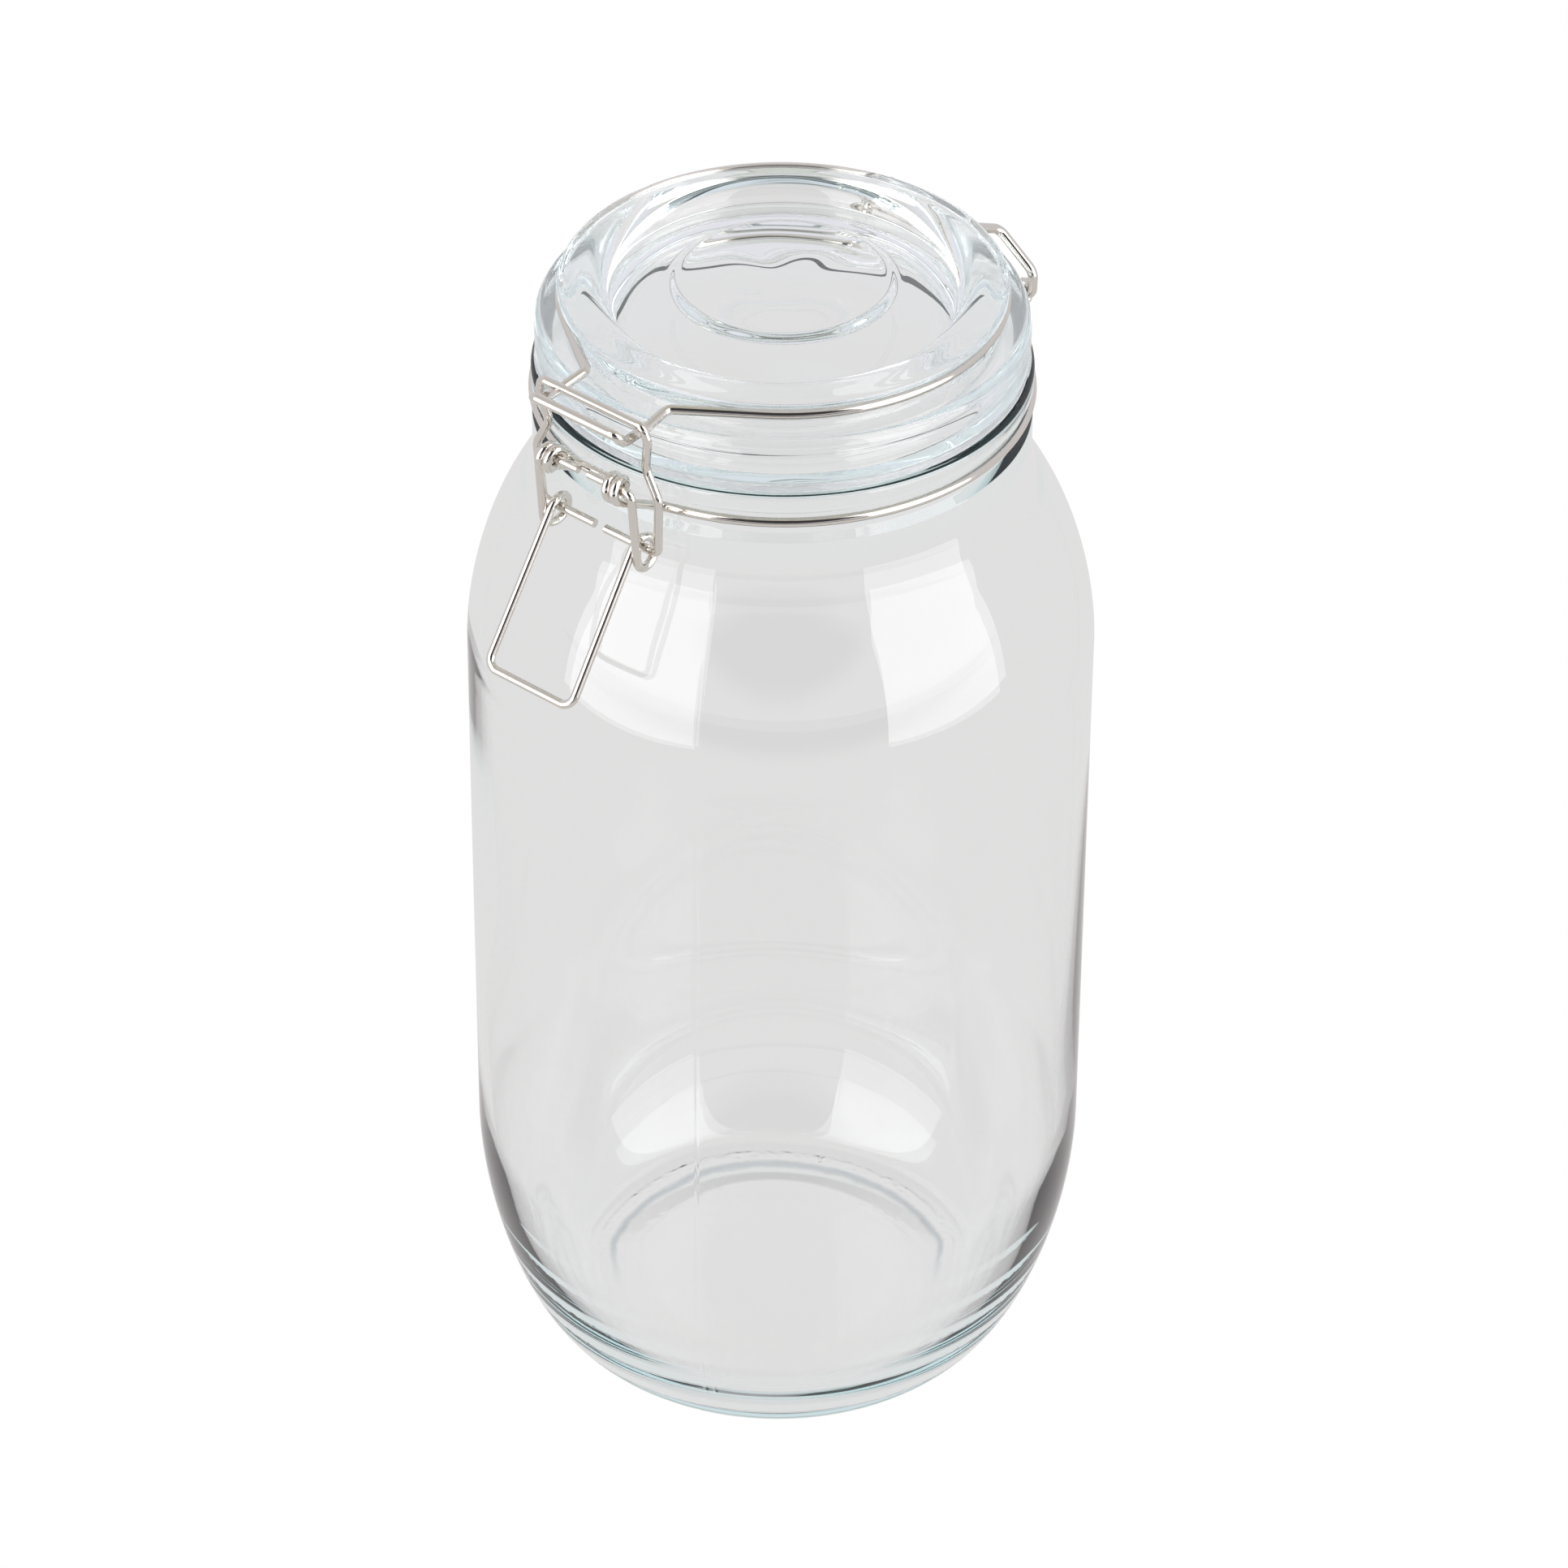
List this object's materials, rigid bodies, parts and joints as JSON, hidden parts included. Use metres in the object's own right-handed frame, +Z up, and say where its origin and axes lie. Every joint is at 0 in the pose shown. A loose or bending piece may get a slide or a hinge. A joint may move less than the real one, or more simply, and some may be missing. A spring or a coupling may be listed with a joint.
{
  "type": "clip-top glass jar",
  "caption": "Round clear glass storage jar with a hinged glass lid, a clear sealing ring and an over-centre wire bail latch.",
  "frame": {"origin": "centre of the base, on the plane the jar stands on", "axes": "+Z up along the jar's axis; the latch and its handle face -Y and the lid's hinge is at +Y"},
  "size_m": [0.12, 0.1323, 0.2423],
  "materials": {
    "jar_glass": "clear blown glass with a faint green-blue tint in thick parts",
    "lid_glass": "clear pressed glass with a faint green-blue tint in thick parts",
    "clear_seal": "soft translucent silicone",
    "lid_wire_steel": "bright drawn stainless steel wire",
    "neck_wire_steel": "bright drawn stainless steel wire",
    "link_steel": "bright drawn stainless steel wire",
    "lever_steel": "bright drawn stainless steel wire"
  },
  "bodies": {
    "jar": {"jar_body": "jar_glass", "neck_wire": "neck_wire_steel"},
    "lid": {"lid": "lid_glass", "seal_ring": "clear_seal", "lid_wire": "lid_wire_steel"},
    "lever": {"lever_handle": "lever_steel"},
    "link": {"closing_link": "link_steel"}
  },
  "joints": [
    {"name": "lid_hinge", "type": "hinge", "parent": "jar", "child": "lid", "pos_m": [0, 0.0485, 0.223], "axis": [-1, 0, 0], "range_deg": [0, 150]},
    {"name": "lever_pivot", "type": "hinge", "parent": "jar", "child": "lever", "pos_m": [0, -0.0556, 0.2269], "axis": [-1, 0, 0], "range_deg": [0, 150]},
    {"name": "link_pivot", "type": "hinge", "parent": "lever", "child": "link", "pos_m": [0, -0.0513, 0.2128], "axis": [-1, 0, 0], "range_deg": [-90, 0]}
  ],
  "couplings": [
    {"joint": "link_pivot", "follows": "lever_pivot", "ratio": -0.6}
  ]
}
